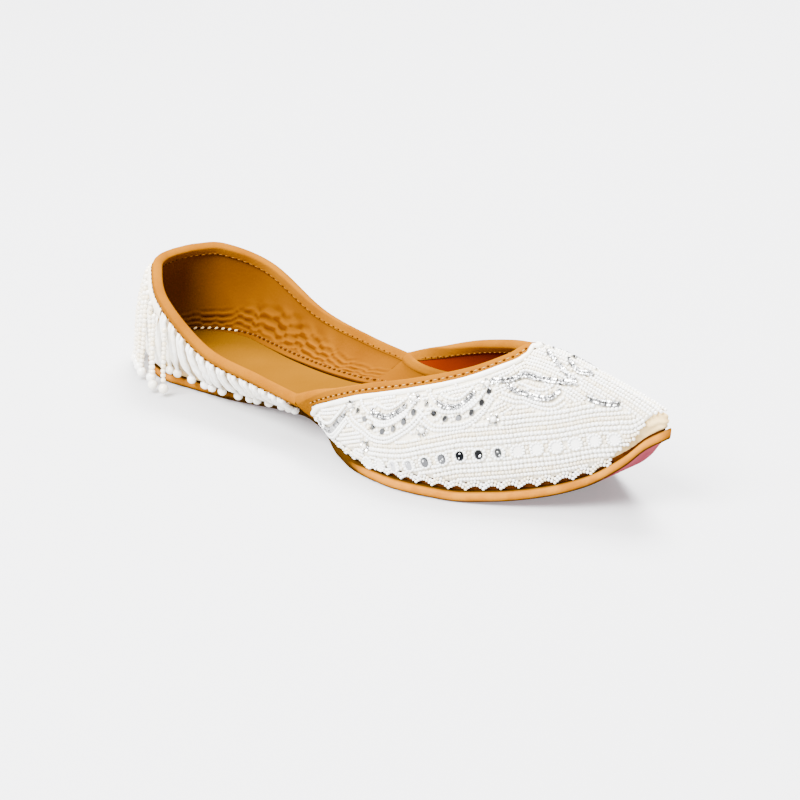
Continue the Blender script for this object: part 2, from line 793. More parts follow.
class Palette:
    """Makes the materials."""

    def __init__(self) -> None:
        """Make the shared grain and start with no material."""
        self.grain_group = self._grain_group()
        self.made: dict[Finish, bpy.types.Material] = {}

    def __getitem__(self, finish: Finish) -> bpy.types.Material:
        """Material of a finish, made when it is first asked for.

        Args:
            finish: The finish.

        Returns:
            Its material.
        """
        if finish not in self.made:
            look = finish.value
            self.made[finish] = self.leather(look) if isinstance(look, LeatherFinish) else self.gloss(look)
        return self.made[finish]

    @staticmethod
    def _grain_group() -> bpy.types.NodeTree:
        """Node group with a fine pebbled grain and soft patches of tone.

        Returns:
            The group, with a grain height and a tone.
        """
        group = bpy.data.node_groups.new("leather_grain", "ShaderNodeTree")
        for way, names in (("INPUT", ("Grain", "Patch")), ("OUTPUT", ("Height", "Tone"))):
            for name in names:
                group.interface.new_socket(name, in_out=way, socket_type="NodeSocketFloat")
        nodes, links = group.nodes, group.links
        inlet, outlet = nodes.new("NodeGroupInput"), nodes.new("NodeGroupOutput")
        place = nodes.new("ShaderNodeTexCoord")
        cells = nodes.new("ShaderNodeTexVoronoi")
        fine = nodes.new("ShaderNodeTexNoise")
        broad = nodes.new("ShaderNodeTexNoise")
        fine.inputs["Detail"].default_value = 6.0
        broad.inputs["Detail"].default_value = 4.0
        mix = nodes.new("ShaderNodeMath")
        mix.operation = "MULTIPLY_ADD"
        mix.inputs[1].default_value = 0.6
        for texture, scale in ((cells, "Grain"), (fine, "Grain"), (broad, "Patch")):
            links.new(place.outputs["Object"], texture.inputs["Vector"])
            links.new(inlet.outputs[scale], texture.inputs["Scale"])
        links.new(cells.outputs["Distance"], mix.inputs[0])
        links.new(fine.outputs["Fac"], mix.inputs[2])
        links.new(mix.outputs[0], outlet.inputs["Height"])
        links.new(broad.outputs["Fac"], outlet.inputs["Tone"])
        return group

    @staticmethod
    def _start(name: str) -> tuple[bpy.types.Material, bpy.types.Node]:
        """New node material and its shader.

        Args:
            name: Name of the material.

        Returns:
            The material and its shader node.
        """
        material = bpy.data.materials.new(name)
        material.use_nodes = True
        return material, material.node_tree.nodes["Principled BSDF"]

    @staticmethod
    def _ramp(nodes: bpy.types.Nodes, low: Colour, high: Colour, start: float, end: float) -> bpy.types.Node:
        """Colour ramp between two colours.

        Args:
            nodes: Nodes of the material.
            low: Colour at the start.
            high: Colour at the end.
            start: Where the ramp starts.
            end: Where it ends.

        Returns:
            The ramp.
        """
        ramp = nodes.new("ShaderNodeValToRGB")
        for stop, colour, at in zip(ramp.color_ramp.elements, (low, high), (start, end)):
            stop.position, stop.color = at, (*colour, 1.0)
        return ramp

    def leather(self, finish: LeatherFinish) -> bpy.types.Material:
        """Leather with grain and patches of tone.

        Args:
            finish: Its look.

        Returns:
            The material.
        """
        material, shader = self._start(finish.name)
        nodes, links = material.node_tree.nodes, material.node_tree.links
        grain = nodes.new("ShaderNodeGroup")
        grain.node_tree = self.grain_group
        grain.inputs["Grain"].default_value = finish.grain
        grain.inputs["Patch"].default_value = finish.patch
        ramp = self._ramp(nodes, finish.shade, finish.colour, 0.34, 0.62)
        bump = nodes.new("ShaderNodeBump")
        bump.inputs["Strength"].default_value = finish.bump
        bump.inputs["Distance"].default_value = 0.0002
        links.new(grain.outputs["Tone"], ramp.inputs["Fac"])
        colour = ramp.outputs["Color"]
        if finish.folds > 0:
            colour = self._darkened_folds(material, colour, finish)
        links.new(colour, shader.inputs["Base Color"])
        links.new(grain.outputs["Height"], bump.inputs["Height"])
        links.new(bump.outputs["Normal"], shader.inputs["Normal"])
        shader.inputs["Roughness"].default_value = finish.roughness
        shader.inputs["Specular IOR Level"].default_value = finish.shine
        return material

    @staticmethod
    def _darkened_folds(material: bpy.types.Material, colour: bpy.types.NodeSocket,
                        finish: LeatherFinish) -> bpy.types.NodeSocket:
        """Darken a colour where the map's first coordinate says that the leather is folded in or stained.

        Args:
            material: The material.
            colour: Colour of flat, clean leather.
            finish: Its look.

        Returns:
            The darkened colour.
        """
        nodes, links = material.node_tree.nodes, material.node_tree.links
        place, split = nodes.new("ShaderNodeUVMap"), nodes.new("ShaderNodeSeparateXYZ")
        place.uv_map = "UVMap"
        depth, mix = nodes.new("ShaderNodeMapRange"), nodes.new("ShaderNodeMix")
        depth.inputs["From Min"].default_value, depth.inputs["From Max"].default_value = 0.1, 0.9
        depth.inputs["To Max"].default_value = finish.folds
        mix.data_type, mix.blend_type = "RGBA", "MULTIPLY"
        mix.inputs["B"].default_value = (*finish.fold_tone, 1.0)
        links.new(place.outputs["UV"], split.inputs["Vector"])
        links.new(split.outputs["X"], depth.inputs["Value"])
        links.new(depth.outputs["Result"], mix.inputs["Factor"])
        links.new(colour, mix.inputs["A"])
        return mix.outputs["Result"]

    def gloss(self, finish: GlossFinish) -> bpy.types.Material:
        """Beads, pearls, thread or metal with a tint for each copy.

        Args:
            finish: Its look.

        Returns:
            The material.
        """
        material, shader = self._start(finish.name)
        nodes, links = material.node_tree.nodes, material.node_tree.links
        tint = nodes.new("ShaderNodeAttribute")
        tint.attribute_name = "tint"
        ramp = self._ramp(nodes, finish.shade, finish.colour, 0.05, 0.6)
        links.new(tint.outputs["Fac"], ramp.inputs["Fac"])
        links.new(ramp.outputs["Color"], shader.inputs["Base Color"])
        shader.inputs["Roughness"].default_value = finish.roughness
        shader.inputs["Metallic"].default_value = finish.metallic
        shader.inputs["Coat Weight"].default_value = finish.coat
        shader.inputs["Specular IOR Level"].default_value = finish.shine
        shader.inputs["Coat Roughness"].default_value = 0.12
        return material


@dataclass
class SubAssembly:
    """One sub-assembly of the shoe, shaped on the last and finished from the palette."""

    last: Last
    palette: Palette

    @property
    def sizes(self) -> ShoeSizes:
        """Sizes of the shoe."""
        return self.last.sizes

    def finishes(self, *finishes: Finish) -> list[bpy.types.Material]:
        """Materials of finishes, in order."""
        return [self.palette[f] for f in finishes]

    @staticmethod
    def keep(piece: bpy.types.Object, slot: Slot, *nodes: str) -> None:
        """Fix a piece to the shoe, give its slot and hide the solids that it stands for.

        Args:
            piece: The piece.
            slot: Its material slot.
            nodes: Solids that it stands for.
        """
        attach(piece, "root")
        if nodes:
            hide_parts(*nodes)
        LOG.info("%s: %d faces", piece.name, len(piece.data.polygons))

    def keep_joined(self, name: str, seeds: Seeds, shape: Shape, finish: Finish, slot: Slot,
                    smooth: bool = True) -> None:
        """Make a piece of many small things and fix it to the shoe.

        Args:
            name: Name of the piece.
            seeds: Places of the things.
            shape: Shape of one of them.
            finish: Their finish.
            slot: Their material slot.
            smooth: Whether they are shaded smooth.
        """
        self.keep(joined_piece(name, self.last, seeds, shape, self.palette[finish], smooth), slot)


@dataclass
class Sole(SubAssembly):
    """Leather outsole with a rounded cut edge, and the mustard sock on it."""

    edge_profile: tuple = ((1.0, 0.0), (0.45, 0.06), (0.1, 0.22), (0.0, 0.5), (0.06, 0.8), (0.35, 0.96),
                           (0.9, 1.0))
    edge_stain: tuple = (1.0, 1.0, 0.42, 0.04, 0.1, 0.7, 1.0)
    edge_wave: float = 0.12
    sock_end: float = 0.93
    sock_roll: float = 0.95
    sock_edge: float = 0.62

    def stations(self, count: int) -> np.ndarray:
        """Stations along the length, close together at the heel and the tip.

        Args:
            count: Number of stations between the round ends.

        Returns:
            Places along the length.
        """
        s = self.sizes
        heel = s.heel_round * (1 - np.cos(np.radians(np.linspace(0, 90, 24))))
        middle = np.linspace(s.heel_round, s.length - s.tip_round, count)[1:]
        tip = s.length - s.tip_round + s.tip_round * np.sin(np.radians(np.linspace(0, 90, 8)[1:]))
        return np.concatenate([heel, middle, tip])

    @staticmethod
    def waist_stain(x: np.ndarray) -> np.ndarray:
        """Darkness of the edge at the waist and the heel."""
        waist = 0.9 * smooth_step(x, 30, 80) * (1 - smooth_step(x, 138, 158))
        return waist + 0.2 * (1 - smooth_step(x, 20, 60))

    def outsole(self) -> None:
        """Make the leather sole."""
        s, last = self.sizes, self.last
        x = self.stations(140)
        w, z = last.half_width(x), last.lift(x)
        side = []
        for inset, level in self.edge_profile:
            wave = self.edge_wave * np.sin(x * 0.9 + level * 5) * np.sin(x * 0.37) * (0 < level < 1)
            half = w - np.minimum(inset, w / 2) + wave * (w > 2)
            side.append(np.stack([x, np.maximum(half, 0.0), z + s.sole * level], -1))
        loop = np.stack(side + [mirrored(p) for p in side[::-1]], 1)
        stain = np.array(self.edge_stain)[None, :] + self.waist_stain(x)[:, None]
        stain = np.stack([stain, np.zeros_like(stain)], -1)
        half = len(side)
        build = MeshBuilder(last)
        build.grid(loop[:, :half], uv=stain)
        build.grid(loop[:, half:], uv=stain[:, ::-1])
        build.grid(loop[:, half - 1: half + 1], uv=np.ones((len(x), 2, 2)))
        build.grid(loop[:, [2 * half - 1, 0]], finish=1)
        piece = build.build("outsole_leather", self.finishes(Finish.SOLE_EDGE, Finish.SOLE_UNDER))
        self.keep(piece, Slot.SOLE, "outsole")

    def insole(self) -> None:
        """Make the smooth sock with a rolled edge, slightly hollowed by wear at the heel and ball."""
        s, last = self.sizes, self.last
        x = self.stations(120)
        x = x[x < s.length * self.sock_end]
        edge = last.inset_outline(x, smooth_rows(FEATHER_MARGIN, x) + s.wall + 0.4 * s.gap)
        rim = np.linspace(self.sock_roll, 1, 6)[1:]
        across = np.concatenate([-rim[::-1], np.linspace(-self.sock_roll, self.sock_roll, 25), rim])
        top = np.repeat(edge[:, None, :], len(across), 1)
        top[..., 1] = edge[:, None, 1] * across[None, :]
        past = ((np.abs(across) - self.sock_roll) / (1 - self.sock_roll)).clip(0, 1)
        roll = np.sqrt(np.maximum(0, 1 - past**2))
        wear = 0.35 * hump(edge[:, None, 0], 32, 22) * hump(across[None, :], 0, 0.55)
        wear += 0.3 * hump(edge[:, None, 0], 165, 28) * hump(across[None, :], 0, 0.6)
        top[..., 2] += s.gap + s.insole * (self.sock_edge + (1 - self.sock_edge) * roll)[None, :] - wear
        foot = edge + [0, 0, s.gap]
        low = np.stack([foot, mirrored(foot)], 1)
        seam = np.broadcast_to(smooth_step(np.abs(across), 0.945, 0.985), top.shape[:2])
        build = MeshBuilder(last)
        build.grid(top, flip=True, uv=np.stack([seam, np.zeros_like(seam)], -1))
        build.grid(low, flip=True)
        build.grid(np.stack([top[:, 0], mirrored(foot)], 1))
        build.grid(np.stack([top[:, -1], foot], 1), flip=True)
        build.cap(np.concatenate([top[-1], low[-1]]))
        self.keep(build.build("insole_sock", self.finishes(Finish.SOCK)), Slot.LINING, "insole")


@dataclass
class Upper(SubAssembly):
    """Hollow leather upper with its lining, the laps of the quarter and the lining's stitches."""

    cavity_reach: float = 0.84
    toe_lining_from: float = 6.1
    bare_from: float = 5.4
    bare_to: float = 6.5
    feather_rows: int = 4
    lap_end: float = 8.3
    lap_roll: tuple = ((3.6, 0.5), (3.4, 1.2), (2.2, 1.4), (0.9, 1.45), (-0.2, 1.35), (-0.75, 0.95),
                       (-0.75, 0.3), (-0.2, -0.2))
    stitch_pitch: float = 3.0
    heel_stitch: Triple = (1.7, 1.0, 0.8)
    side_stitch: Triple = (1.2, 0.45, 0.4)
    needle_hole: Triple = (1.7, 1.1, 0.5)
    heel_stitches_end: float = 22.0

    @staticmethod
    def gathers(a: np.ndarray, rise: np.ndarray) -> np.ndarray:
        """Height of the lining's gathered wrinkles, as long waves that follow the insole.

        Args:
            a: Section numbers.
            rise: Distance up the lining from the insole, in millimetres.

        Returns:
            Heights in millimetres.
        """
        drift = 0.9 * np.sin(a * 4.1 + 0.6) + 0.6 * np.sin(a * 9.3) + 0.35 * np.sin(a * 21.7 + 1.0)
        drift = drift * (0.3 + 0.7 * smooth_step(a, 1.3, 3.0))
        low = rise / (1 + 0.95 * hump(a, 3.5, 0.95))
        spread = 1.8 + 0.06 * low
        wave = np.sin((low + drift) * 2 * np.pi / spread)
        wave = wave + 0.45 * np.sin((low * 0.8 - drift * 1.4) * 2 * np.pi / 2.3)
        window = smooth_step(low, 0.3, 1.4) * (1 - smooth_step(low, 4.5, 10.0))
        along = 0.55 + 0.45 * hump(a, 1.6, 1.5) + 0.45 * hump(a, 4.3, 0.9)
        tuck = np.sin(a * 15.0 + rise * 0.34) * smooth_step(rise, 5.0, 9.0)
        tuck = tuck * (1 - smooth_step(rise, 12.0, 20.0))
        tuck *= 0.5 * hump(a, 3.6, 0.9)
        return (0.3 * wave * window * along + 0.26 * tuck) * (1 - smooth_step(a, 5.4, 6.4))

    def outside(self, a: np.ndarray) -> np.ndarray:
        """Outer face, creased a little in the bare beak of the toe.

        Args:
            a: Section numbers.

        Returns:
            Points by section and level.
        """
        grid_a, grid_v = np.meshgrid(a, np.linspace(0, 1, 30), indexing="ij")
        beak = smooth_step(grid_a, 14.9, 15.5) * np.sin(np.pi * np.clip(grid_v, 0, 1)) ** 0.5
        outer = self.last.offset(grid_a, grid_v, 0.3 * beak * np.sin(grid_v * 17 + 2.2 * np.sin(grid_a * 3)))
        outer[a >= THROAT, -1, 1] = 0.0
        return outer

    def inside(self, a: np.ndarray) -> tuple[np.ndarray, np.ndarray]:
        """Lining with its gathers.

        Args:
            a: Section numbers.

        Returns:
            Points by section and level, and the map that darkens the folds.
        """
        last, s = self.last, self.sizes
        fine = np.concatenate([np.linspace(0, 0.42, 66)[:-1], np.linspace(0.42, 1, 24)])
        cavity = np.where(a <= THROAT, a, THROAT + (a - THROAT) * self.cavity_reach)
        grid_a, grid_v = np.meshgrid(cavity, fine, indexing="ij")
        rise = grid_v * last.height(cavity)[:, None] - s.insole
        fold = self.gathers(grid_a, rise)
        inner = last.offset(grid_a, grid_v, -s.wall + fold * (grid_a > 0.0) - 0.2)
        inner[0, :, 1] = 0.0
        inner[a >= THROAT, -1, 1] = 0.0
        return inner, np.stack([np.clip(0.35 - fold * 2.4, 0, 1), rise / 50], -1)

    def shell(self) -> None:
        """Make the upper: cream outside, mustard lining with gathers, rust lining in the toe."""
        a = np.concatenate([np.linspace(0, THROAT, 190), np.linspace(THROAT, TOE_TIP, 46)[1:]])
        outer, (inner, fold_map) = self.outside(a), self.inside(a)
        drop = np.array([0.0, 0.0, self.sizes.gap * 0.97])
        outer = np.concatenate([outer[:, :1] - drop, outer], 1)
        inner = np.concatenate([inner[:, :1] - drop, inner], 1)
        fold_map = np.concatenate([fold_map[:, :1], fold_map], 1)
        ends = (self.toe_lining_from, self.bare_from, self.bare_to)
        toe, start, end = (int(k) for k in np.searchsorted(a, ends))
        rim, foot = a <= THROAT, self.feather_rows
        looks = (Finish.CREAM, Finish.LINING, Finish.TOE_LINING, Finish.TAN, Finish.FEATHER_EDGE)
        cream, lining, toe_lining, tan, feather = range(len(looks))
        build = MeshBuilder(self.last)
        for turn, flip in SIDES:
            build.grid(turn(outer[: start + 1]), cream, flip=not flip)
            build.grid(turn(outer[start: end + 1]), tan, flip=not flip)
            build.grid(turn(outer[end:, :foot]), feather, flip=not flip)
            build.grid(turn(outer[end:, foot - 1:]), cream, flip=not flip)
            build.grid(turn(inner[: toe + 1]), lining, flip=flip, uv=fold_map[: toe + 1])
            build.grid(turn(inner[toe:]), toe_lining, flip=flip)
            build.grid(turn(np.stack([outer[:, 0], inner[:, 0]], 1)), feather, flip=flip)
            build.grid(turn(np.stack([outer[rim, -1], inner[rim, -1]], 1)), cream, flip=not flip)
        build.grid(np.stack([inner[-1], mirrored(inner[-1])], 1), toe_lining)
        build.cap(np.stack([outer[-1, 0], inner[-1, 0], mirrored(inner[-1, 0])]), cream)
        self.keep(build.build("upper_leather_and_lining", self.finishes(*looks)), Slot.UPPER, "upper")

    def quarter_laps(self) -> None:
        """Make the front ends of the quarter, which run on inside the vamp under a bound edge."""
        s, last = self.sizes, self.last
        a, v = np.linspace(NOTCH - 0.03, self.lap_end, 70), np.linspace(0, 1, 61)
        face = last.wall(a[:, None], v[None, :])
        notch = last.wall(np.array([NOTCH]), np.array([1.0]))[0]
        above = face[..., 2] - notch[2] + 0.09 * (face[..., 0] - notch[0])
        level = np.array([np.interp(0.0, row, v) for row in above])
        level = level * (1 - 0.8 * smooth_step(a, self.lap_end - 0.6, self.lap_end))
        tall = last.height(a)
        low = np.clip(level - 3.5 / tall, 0.04, 1)
        rise = 0.03 + (low - 0.03)[:, None] * np.linspace(0, 1, 12)[None, :]
        lap = last.offset(np.repeat(a[:, None], 12, 1), rise, np.full_like(rise, -s.wall - 0.5))
        band = [last.offset(a, np.clip(level - down / tall, 0, 1), np.full_like(a, -s.wall - inward))
                for down, inward in self.lap_roll]
        build = MeshBuilder(last)
        for turn, flip in SIDES:
            build.grid(turn(lap), flip=flip, uv=np.full((*lap.shape[:2], 2), 0.3))
            build.grid(turn(np.stack(band, 1)), finish=1, flip=flip)
        self.keep(build.build("quarter_laps_inside", self.finishes(Finish.LINING, Finish.TAN)), Slot.LINING)

    def lining_stitches(self) -> None:
        """Make the stitches and holes in the lining just above the insole."""
        s, last = self.sizes, self.last
        thread, holes = Seeds(), Seeds()
        a = np.linspace(0.02, 8.0, 400)
        v = last.level_at(a, s.insole * 0.62 + 1.0, False)
        p = last.offset(a, v, np.full_like(a, -s.wall - 0.35))
        run = run_of(p)
        at = np.arange(1.0, run[-1], self.stitch_pitch)
        centre = along_line(at, run, p)
        along = unit(along_line(at + 0.3, run, p) - along_line(at - 0.3, run, p))
        out = -last.normal(np.interp(at, run, a), np.interp(at, run, v))
        up = np.array([0.0, 0.0, 1.0])
        back = centre[:, 0] < self.heel_stitches_end
        thread.add(centre[back], along[back] + 0.4 * up, out[back], self.heel_stitch, tint=1.0)
        thread.add(centre[~back], along[~back] + up, out[~back], self.side_stitch, tint=0.08)
        holes.add(centre + along * 1.4, along + 0.3 * up, out, self.needle_hole)
        ball = ball_shape(6, 4)
        self.keep_joined("lining_stitches", thread, ball, Finish.THREAD, Slot.LINING)
        self.keep_joined("lining_stitch_holes", holes, ball, Finish.HOLES, Slot.LINING)


@dataclass(frozen=True)
class BindingStrip:
    """One folded binding: its piece, its solid, its outer leg's width, its seam and its thread's tone."""

    name: str
    node: str
    leg: float
    seam: float
    tone: float


@dataclass
class Bindings(SubAssembly):
    """Folded leather bindings of the quarter and the vamp, with their stitches."""

    stitch_pitch: float = 2.9
    inner_seam: float = 0.8
    tail_reach: float = 0.55
    tail_share: float = 0.86
    outer_shares: tuple = (1.0, 0.985, 0.93, 0.86, 0.78, 0.68, 0.55, 0.4, 0.25, 0.1)
    inner_shares: tuple = (0.1, 0.3, 0.55, 0.75, 0.9, 1.0)

    @property
    def skin(self) -> float:
        """Height of a binding's skin off the face."""
        return self.sizes.gap * 0.5 + self.sizes.binding * 0.8

    def points(self, a: np.ndarray, frames: tuple, distance: np.ndarray, height: np.ndarray) -> np.ndarray:
        """Points of a binding at distances down the face and heights off it.

        Args:
            a: Section numbers.
            frames: Edge points, normals and ways down at the sections.
            distance: Distances down the face, sections by columns.
            height: Heights off the outer face, sections by columns.

        Returns:
            Points, sections by columns.
        """
        edge, normal, down = (f[:, None, :] for f in frames)
        flat = edge + down * distance[..., None]
        guess_a = np.broadcast_to(a[:, None], distance.shape)
        near_a, near_v = self.last.nearest(flat, guess_a, np.clip(1 - distance / 40, 0, 1))
        on_face = self.last.offset(near_a, near_v, height)
        points = np.where((distance > 0)[..., None], on_face, flat + normal * height[..., None])
        points[(a <= HEEL_BACK) | (a >= THROAT), :, 1] = 0.0
        return points

    def section(self, strip: BindingStrip, width: np.ndarray, tail: np.ndarray,
                draw: np.ndarray) -> tuple[np.ndarray, np.ndarray]:
        """Section of a binding: outer leg, crown, inner leg and the hidden faces against the leather.

        Args:
            strip: The binding.
            width: Width of its outer leg.
            tail: How far each section belongs to the tail.
            draw: How far the stitches draw it in.

        Returns:
            Distances down the face and heights off it, sections by columns.
        """
        s, skin = self.sizes, self.skin
        ones = np.ones(len(width))
        places = []
        for f in self.outer_shares:
            swell = -0.45 * (f > 0.99) - 0.15 * (f == 0.985) + 0.22 * math.sin(math.pi * min(1.0, f))
            dip = 0.3 * math.exp(-(((f - strip.seam) / 0.13) ** 2)) * (0.45 + 0.55 * draw)
            places.append((width * f, ones * (skin - 0.15 + swell) + 0.45 * tail - dip))
        for t in np.radians(np.linspace(10, 170, 9)):
            rise = -s.wall / 2 + (s.wall / 2 + skin) * math.cos(t)
            places.append((ones * -skin * 0.85 * math.sin(t), ones * rise))
        for f in self.inner_shares:
            dip = 0.25 * math.exp(-(((f - self.inner_seam) / 0.15) ** 2)) * (0.45 + 0.55 * draw)
            places.append((ones * s.binding_inner * f, ones * (-s.wall - skin + 0.35 * (f == 1.0)) + dip))
        under = s.gap * 0.3
        for down, rise in ((s.binding_inner, -s.wall - under), (s.binding_inner * 0.3, -s.wall - under),
                           (-under, -s.wall - under), (-under, under)):
            places.append((ones * down, ones * rise))
        for f in (0.5, 1.0):
            places.append((width * f, ones * under))
        distance, height = zip(*places)
        return np.stack(distance, 1), np.stack(height, 1)

    def strip(self, strip: BindingStrip, a: np.ndarray, tail: np.ndarray) -> np.ndarray:
        """Make a binding with a rolled edge, drawn in a little at every stitch, and its stitches.

        Args:
            strip: The binding.
            a: Section numbers from the notch to the centre plane.
            tail: How far each section belongs to the tail that runs down to the sole.

        Returns:
            Points of the outer leg, for keeping other work clear of it.
        """
        last = self.last
        edge, normal, down = last.top_line(a)
        if tail.max() > 0:
            _, _, quarter_down = last.top_line(np.array([NOTCH - 0.06]))
            down = unit(down + (quarter_down - down) * tail[:, None])
        frames = (edge, normal, down)
        tall = last.height(np.array([NOTCH]))[0] * self.tail_share
        width = strip.leg + (tall - strip.leg) * tail
        run = run_of(edge)
        pitch = run[-1] / max(1, round(run[-1] / self.stitch_pitch))
        draw = 0.5 + 0.5 * np.cos(2 * np.pi * (run / pitch - 0.5))
        loops = self.points(a, frames, *self.section(strip, width, tail, draw))
        build = MeshBuilder(last)
        for turn, flip in SIDES:
            build.grid(turn(loops), loop=True, flip=flip)
        for turn, flip in SIDES:
            build.cap(turn(loops[0]), flip=not flip)
        self.keep(build.build(strip.name, self.finishes(Finish.TAN)), Slot.BINDING, strip.node)
        self.stitches(strip, a, frames, width, run, pitch, tail)
        return loops[:, : len(self.outer_shares)]

    def stitches(self, strip: BindingStrip, a: np.ndarray, frames: tuple, width: np.ndarray, run: np.ndarray,
                 pitch: float, tail: np.ndarray) -> None:
        """Make the stitches along both legs of a binding, with the needle holes at their ends.

        Args:
            strip: The binding.
            a: Section numbers.
            frames: Edge points, normals and ways down at the sections.
            width: Width of the outer leg.
            run: Distance along the edge.
            pitch: Spacing of the stitches.
            tail: How far each section belongs to the tail.
        """
        s, skin = self.sizes, self.skin
        places = np.arange(pitch / 2, run[-1], pitch)
        live = (np.interp(places, run, tail) < 0.15) & (places > 4.0)
        live &= (places < run[-1] - 2.0) | (tail.max() == 0)
        thread, holes = Seeds(), Seeds()
        legs = ((1, width * strip.seam, skin + 0.02, strip.tone, 1.0),
                (-1, np.full_like(width, s.binding_inner * self.inner_seam), -s.wall - skin, 0.0, 0.7))
        for sign, leg, lift, light, large in legs:
            rows = []
            for reach in (-0.3, 0.0, 0.3, 0.5):
                at = np.clip(places + reach * pitch, 0.0, run[-1])
                edge, normal, down = (along_line(at, run, f) for f in frames)
                now = (edge, unit(normal), unit(down))
                far, high = np.interp(at, run, leg)[:, None], np.full((len(at), 1), lift)
                spots = self.points(np.interp(at, run, a), now, far, high)[:, 0]
                rows.append((spots[live], now[1][live] * sign))
            (start, _), (middle, out), (end, _), (gap, _) = rows
            thread.add(middle + out * 0.06, end - start, out, (pitch * 0.46, 0.46 * large, 0.38), tint=light)
            holes.add(gap + out * 0.08, end - start, out, (1.15 * large, 0.95 * large, 0.34))
        ball = ball_shape(6, 4)
        self.keep_joined(strip.name + "_stitches", thread, ball, Finish.THREAD, Slot.BINDING)
        self.keep_joined(strip.name + "_stitch_holes", holes, ball, Finish.HOLES, Slot.BINDING)

    def make(self) -> KDTree:
        """Make both bindings.

        Returns:
            Points of the vamp binding's outer leg, to search for the nearest.
        """
        s = self.sizes
        a = np.linspace(NOTCH - 0.002, HEEL_BACK, 260)
        quarter = BindingStrip("quarter_binding_leather", "quarter_binding", s.quarter_leg, 0.66, 0.15)
        self.strip(quarter, a, np.zeros_like(a))
        turn = NOTCH + self.tail_reach
        a = np.concatenate([np.linspace(NOTCH + 0.02, turn, 26)[:-1], np.linspace(turn, THROAT, 224)])
        vamp = BindingStrip("vamp_binding_leather", "vamp_binding", s.vamp_leg, 0.55, 0.15)
        leg = self.strip(vamp, a, smooth_step(turn - a, 0.0, 0.49))
        fine = np.concatenate([leg[:, :-1] * (1 - t) + leg[:, 1:] * t for t in (0.0, 0.5)], 1).reshape(-1, 3)
        cover = KDTree(len(fine))
        for i, p in enumerate(fine):
            cover.insert(Vector(p.tolist()), i)
        cover.balance()
        return cover


@dataclass
class OrnamentSeeds:
    """Places of the vamp's ornaments."""

    wire: Seeds = field(default_factory=Seeds)
    sequins: Seeds = field(default_factory=Seeds)
    glass: Seeds = field(default_factory=Seeds)
    glints: Seeds = field(default_factory=Seeds)
    plates: Seeds = field(default_factory=Seeds)
    studs: Seeds = field(default_factory=Seeds)
    rims: Seeds = field(default_factory=Seeds)


